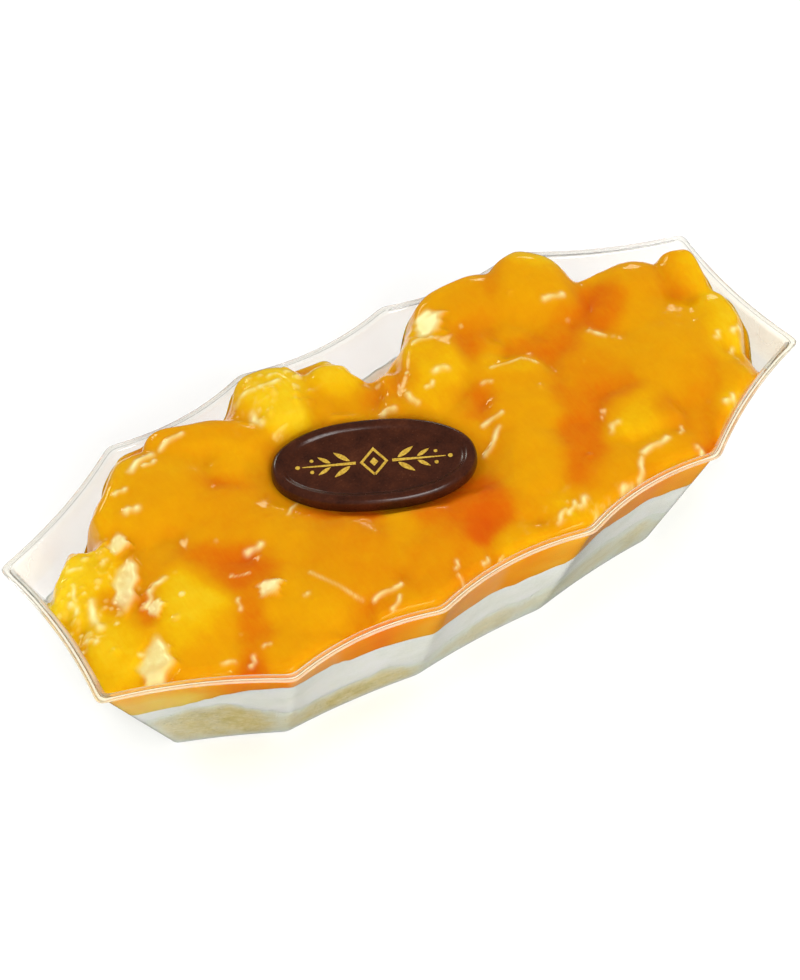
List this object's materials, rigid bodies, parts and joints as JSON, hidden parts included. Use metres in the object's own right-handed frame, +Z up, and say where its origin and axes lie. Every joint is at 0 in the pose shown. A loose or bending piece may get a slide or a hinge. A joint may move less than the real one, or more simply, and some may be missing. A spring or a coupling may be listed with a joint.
{
  "type": "tres leches cake cup",
  "caption": "Clear boat-shaped dessert cup with a scalloped rim, filled with soaked sponge and cream under a heaped topping of glazed mango chunks and an oval chocolate plaque.",
  "frame": {"origin": "middle of the flat underside of the cup", "axes": "+Z up, out of the cup's mouth; +X along the cup's long side, with the plaque's longer empty side of the topping towards +X; +Y across the cup, towards the side where the topping dips below the rim"},
  "size_m": [0.1446, 0.0662, 0.0389],
  "materials": {
    "clear_plastic": "clear moulded polystyrene, glossy",
    "soaked_sponge": "moist fine-crumbed sponge, seen through the wall",
    "white_cream": "smooth soft cream",
    "mango_glaze": "wet translucent mango glaze, very glossy",
    "mango_flesh": "glazed ripe mango, glossy",
    "dark_chocolate": "moulded dark chocolate, satin",
    "gold_print": "printed edible gold"
  },
  "bodies": {
    "root": {"cup": "clear_plastic", "cake_layer": "soaked_sponge", "cream_layer": "white_cream", "mango_glaze": "mango_glaze", "mango_big_yellow": "mango_flesh", "mango_big_round": "mango_flesh", "mango_back_tall": "mango_flesh", "mango_back_long": "mango_flesh", "mango_slab_left": "mango_flesh", "mango_far_bright": "mango_flesh", "mango_far_small": "mango_flesh", "mango_ridge": "mango_flesh", "mango_end_small": "mango_flesh", "mango_near_corner": "mango_flesh", "mango_cube": "mango_flesh", "mango_right_far": "mango_flesh", "mango_right_side": "mango_flesh", "mango_beside_plaque": "mango_flesh", "mango_middle_right": "mango_flesh", "mango_inner_right": "mango_flesh", "mango_near_round": "mango_flesh", "mango_near_left": "mango_flesh", "mango_inner_left": "mango_flesh", "mango_near_middle": "mango_flesh", "mango_far_end": "mango_flesh", "mango_near_right": "mango_flesh", "chocolate_plaque": "dark_chocolate"}
  },
  "joints": []
}
